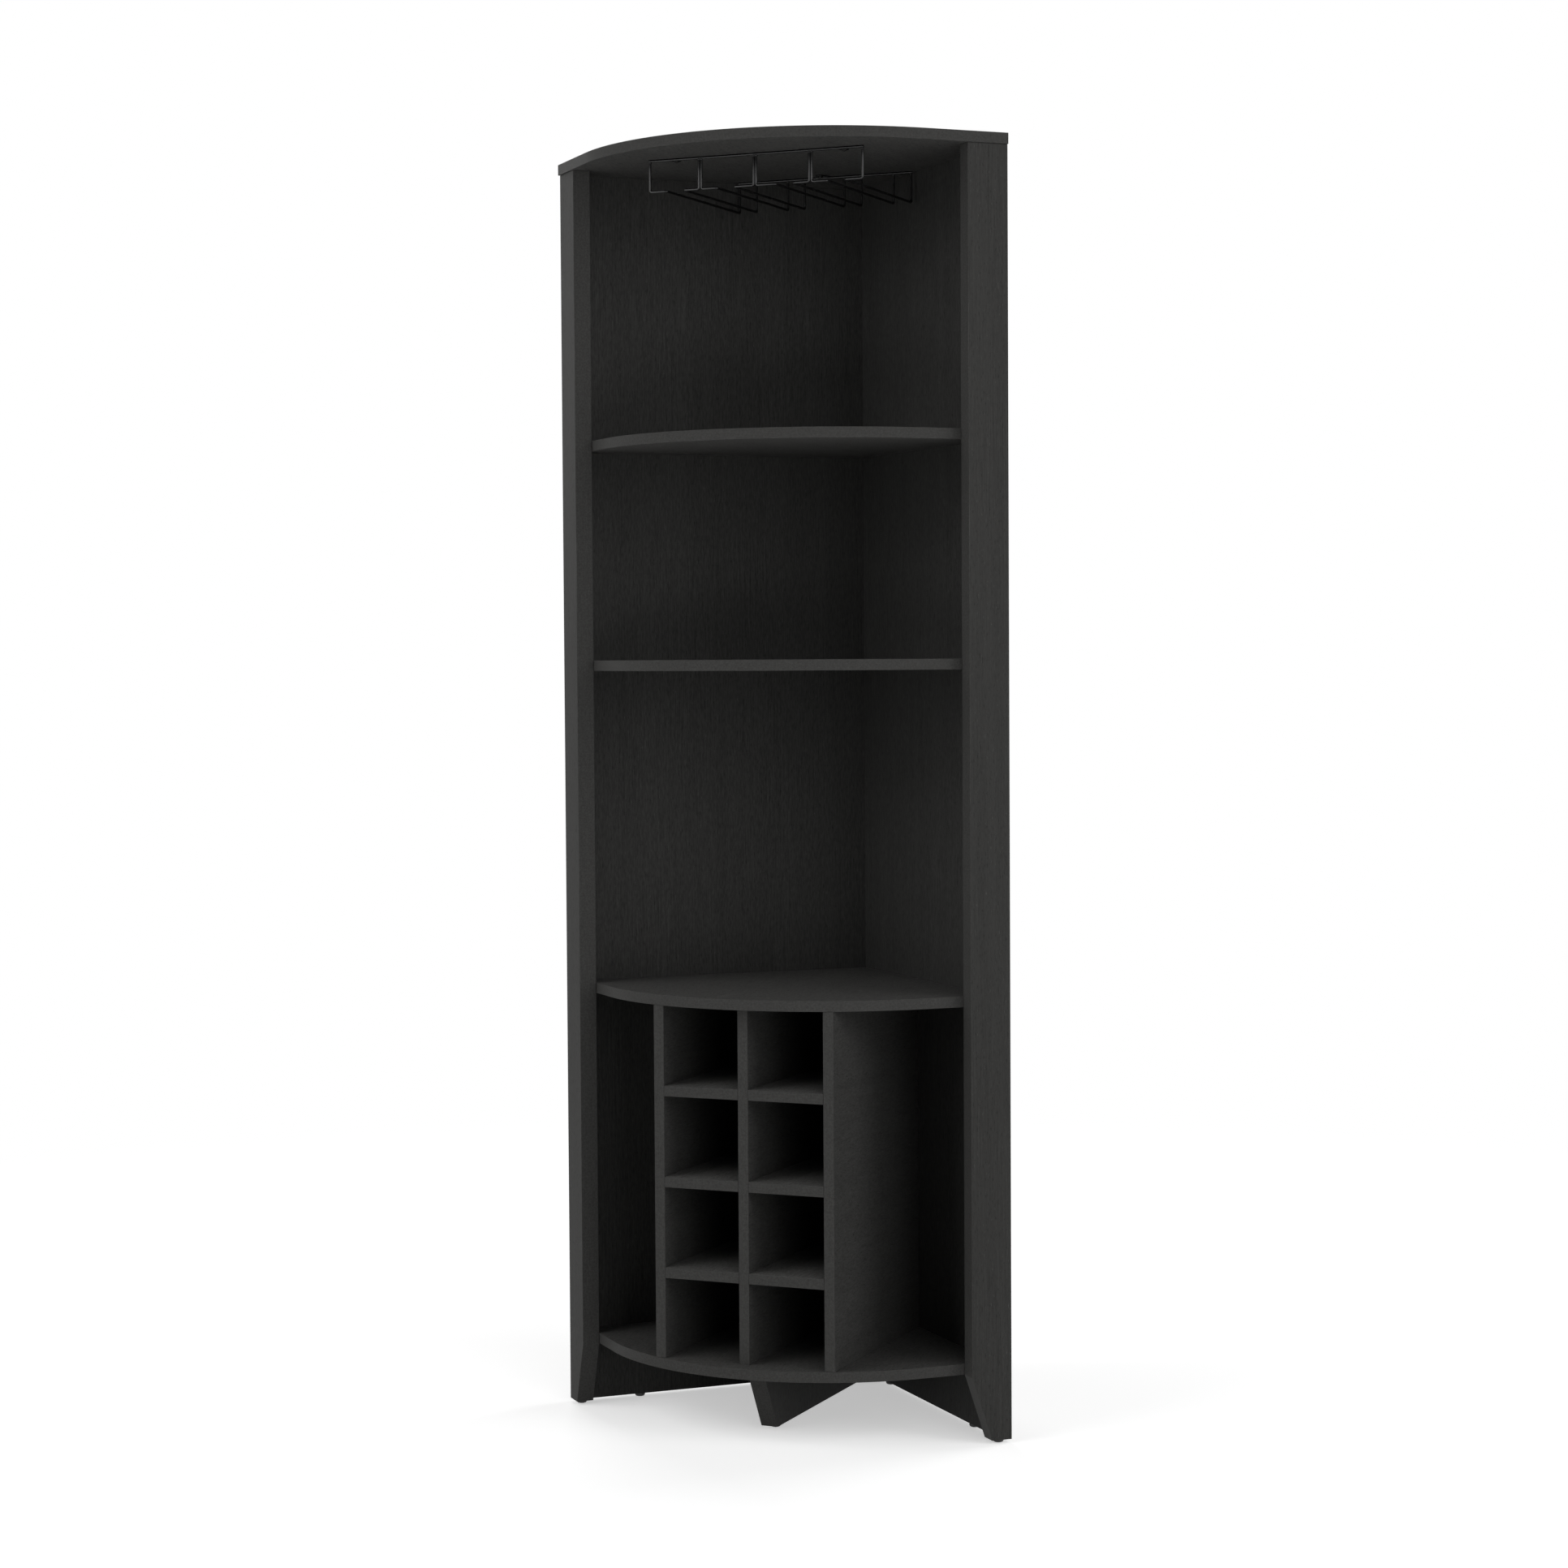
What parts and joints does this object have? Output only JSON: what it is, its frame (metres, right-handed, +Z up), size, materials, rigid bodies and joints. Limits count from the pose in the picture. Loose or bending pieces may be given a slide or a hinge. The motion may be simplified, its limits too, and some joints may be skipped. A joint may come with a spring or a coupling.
{
  "type": "corner bar cabinet",
  "caption": "Tall open corner cabinet with a rounded front, open shelves, bottle cubbies and a hanging stemware rack.",
  "frame": {"origin": "on the floor, under the middle of the cabinet's box", "axes": "+Z up, front towards -Y; the two back panels stand at 45 degrees to X and meet at the back, towards +Y"},
  "size_m": [0.6874, 0.5382, 1.8],
  "materials": {
    "laminate": "charcoal wood-grain laminate on particle board, satin",
    "rack_wire": "gloss black coated steel wire",
    "screw_steel": "zinc plated",
    "dowel_wood": "raw turned beech",
    "glide_plastic": "moulded black plastic"
  },
  "bodies": {
    "root": {"top_panel": "laminate", "upper_shelf": "laminate", "middle_shelf": "laminate", "counter_shelf": "laminate", "bottom_shelf": "laminate", "left_back_panel": "laminate", "right_back_panel": "laminate", "left_post": "laminate", "right_post": "laminate", "centre_leg": "laminate", "left_divider": "laminate", "centre_divider": "laminate", "right_divider": "laminate", "left_cubby_shelf_1": "laminate", "left_cubby_shelf_2": "laminate", "left_cubby_shelf_3": "laminate", "right_cubby_shelf_1": "laminate", "right_cubby_shelf_2": "laminate", "right_cubby_shelf_3": "laminate", "rack_left_rail_1": "rack_wire", "rack_left_rail_2": "rack_wire", "rack_left_rail_3": "rack_wire", "rack_left_rail_4": "rack_wire", "rack_right_rail_1": "rack_wire", "rack_right_rail_2": "rack_wire", "rack_right_rail_3": "rack_wire", "rack_right_rail_4": "rack_wire", "rack_front_bar": "rack_wire", "rack_rear_bar": "rack_wire", "rack_left_tab": "rack_wire", "rack_right_tab": "rack_wire", "rack_rear_tab": "rack_wire", "rack_left_screw": "screw_steel", "rack_right_screw": "screw_steel", "rack_rear_screw": "screw_steel", "upper_shelf_left_screw": "screw_steel", "upper_shelf_right_screw": "screw_steel", "middle_shelf_left_screw": "screw_steel", "middle_shelf_right_screw": "screw_steel", "counter_shelf_left_screw": "screw_steel", "counter_shelf_right_screw": "screw_steel", "bottom_shelf_left_screw": "screw_steel", "bottom_shelf_right_screw": "screw_steel", "top_left_post_screw": "screw_steel", "top_left_panel_screw": "screw_steel", "top_right_post_screw": "screw_steel", "top_right_panel_screw": "screw_steel", "leg_screw_1": "screw_steel", "leg_screw_2": "screw_steel", "left_post_dowel_1": "dowel_wood", "left_post_dowel_2": "dowel_wood", "right_post_dowel_1": "dowel_wood", "right_post_dowel_2": "dowel_wood", "left_post_glide": "glide_plastic", "right_post_glide": "glide_plastic", "leg_glide": "glide_plastic", "left_back_glide_1": "glide_plastic", "left_back_glide_2": "glide_plastic", "right_back_glide_1": "glide_plastic", "right_back_glide_2": "glide_plastic"}
  },
  "joints": []
}
